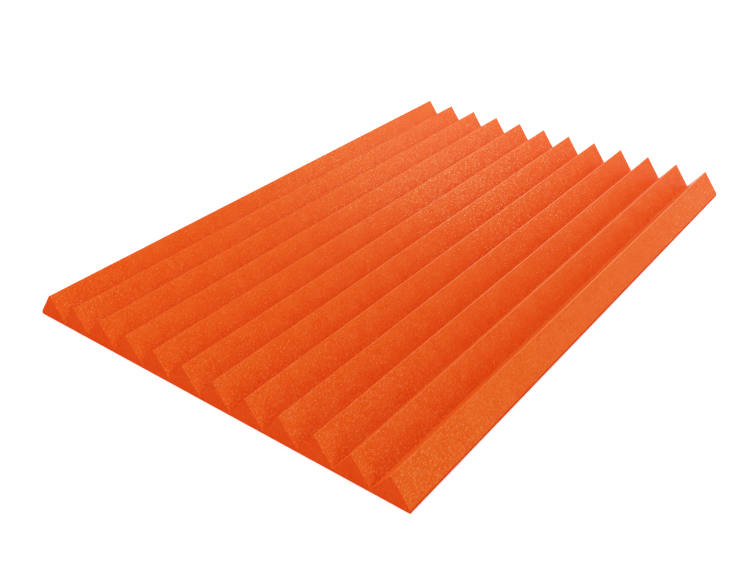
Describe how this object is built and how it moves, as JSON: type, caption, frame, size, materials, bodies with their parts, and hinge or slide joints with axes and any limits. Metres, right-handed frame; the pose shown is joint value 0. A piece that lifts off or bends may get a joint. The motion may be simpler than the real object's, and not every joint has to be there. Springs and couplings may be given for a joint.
{
  "type": "acoustic foam panel",
  "caption": "Rectangular wedge-profile acoustic foam panel: straight parallel ridges on a thin web, with a self-adhesive back under a slit release liner.",
  "frame": {"origin": "middle of the back, on the face of the release liner that the panel rests on", "axes": "+X across the ridges, +Y along the ridges, +Z away from the back towards the ridge crests"},
  "size_m": [0.6096, 0.903, 0.0381],
  "materials": {
    "foam": "matte",
    "adhesive": "gloss",
    "release_paper": "satin"
  },
  "bodies": {
    "root": {"foam_panel": "foam", "adhesive_film": "adhesive", "release_liner_left": "release_paper", "release_liner_right": "release_paper"}
  },
  "joints": []
}
